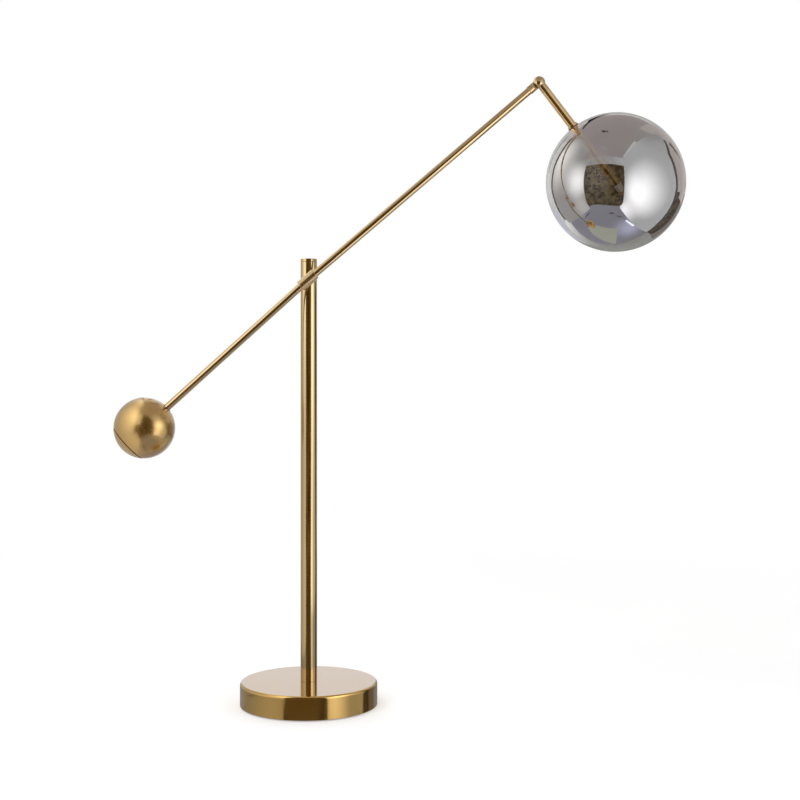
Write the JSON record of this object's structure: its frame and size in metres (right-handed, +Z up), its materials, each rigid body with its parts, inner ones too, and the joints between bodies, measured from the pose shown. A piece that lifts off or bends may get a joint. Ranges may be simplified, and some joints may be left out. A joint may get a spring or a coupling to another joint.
{
  "type": "balance arm table lamp",
  "caption": "Table lamp: round weighted base, straight pole, tilting balance arm with a ball counterweight, and a tilting head with a smoked glass globe.",
  "frame": {"origin": "centre of the underside of the base, on the table top", "axes": "+Z up along the pole, +X towards the globe, +Y to the rear, away from the arm's side of the pole"},
  "size_m": [0.6169, 0.171, 0.6832],
  "materials": {
    "satin_brass": "satin, fine brushed, clear lacquer",
    "plated_steel": "brass plated, satin",
    "zinced_steel": "zinc plated",
    "cast_ballast": "rough cast",
    "soft_pad": "matt foam rubber",
    "black_rubber": "matt",
    "clear_silicone": "translucent silicone",
    "washer_nylon": "matt",
    "terminal_nylon": "matt",
    "wire_sheath": "matt sheath",
    "smoked_glass": "smoked and half mirrored",
    "holder_ceramic": "unglazed",
    "capsule_glass": "clear"
  },
  "bodies": {
    "stand": {"base_pad": "soft_pad", "base_plate": "zinced_steel", "base_weight": "cast_ballast", "plate_screws": "zinced_steel", "base_cover": "satin_brass", "base_nipple": "zinced_steel", "nipple_nut": "zinced_steel", "nipple_washer": "zinced_steel", "cord_grommet": "black_rubber", "terminal_block": "terminal_nylon", "pole_tube": "satin_brass", "pole_foot_bush": "satin_brass", "pole_cap": "satin_brass", "front_pivot_bush": "satin_brass", "rear_pivot_bush": "satin_brass", "pole_wire": "wire_sheath"},
    "arm": {"arm_sleeve": "satin_brass", "pivot_stud": "satin_brass", "front_friction_washer": "washer_nylon", "rear_friction_washer": "washer_nylon", "pivot_spring_washer": "zinced_steel", "pivot_cap_nut": "satin_brass", "front_arm_tube": "satin_brass", "rear_arm_tube": "satin_brass", "rear_tube_insert": "satin_brass", "arm_wire": "wire_sheath", "counterweight_ball": "plated_steel", "counterweight_bolt": "zinced_steel", "counterweight_end_cap": "plated_steel", "arm_knuckle": "satin_brass"},
    "head": {"head_knuckle": "satin_brass", "knuckle_screw": "zinced_steel", "knuckle_washer": "washer_nylon", "head_tube": "satin_brass", "globe_collar": "satin_brass", "collar_set_screw": "zinced_steel", "globe_grommet": "clear_silicone", "globe_ring": "satin_brass", "glass_globe": "smoked_glass", "lamp_holder": "holder_ceramic", "bulb_pins": "zinced_steel", "bulb_base": "holder_ceramic", "bulb_capsule": "capsule_glass", "head_wire": "wire_sheath"}
  },
  "joints": [
    {"name": "arm_tilt", "type": "hinge", "parent": "stand", "child": "arm", "pos_m": [0, -0.019, 0.463], "axis": [0, -1, 0], "range_deg": [-66, 34]},
    {"name": "head_tilt", "type": "hinge", "parent": "arm", "child": "head", "pos_m": [0.25017, -0.019, 0.67667], "axis": [0, -1, 0], "range_deg": [-20, 90]}
  ]
}
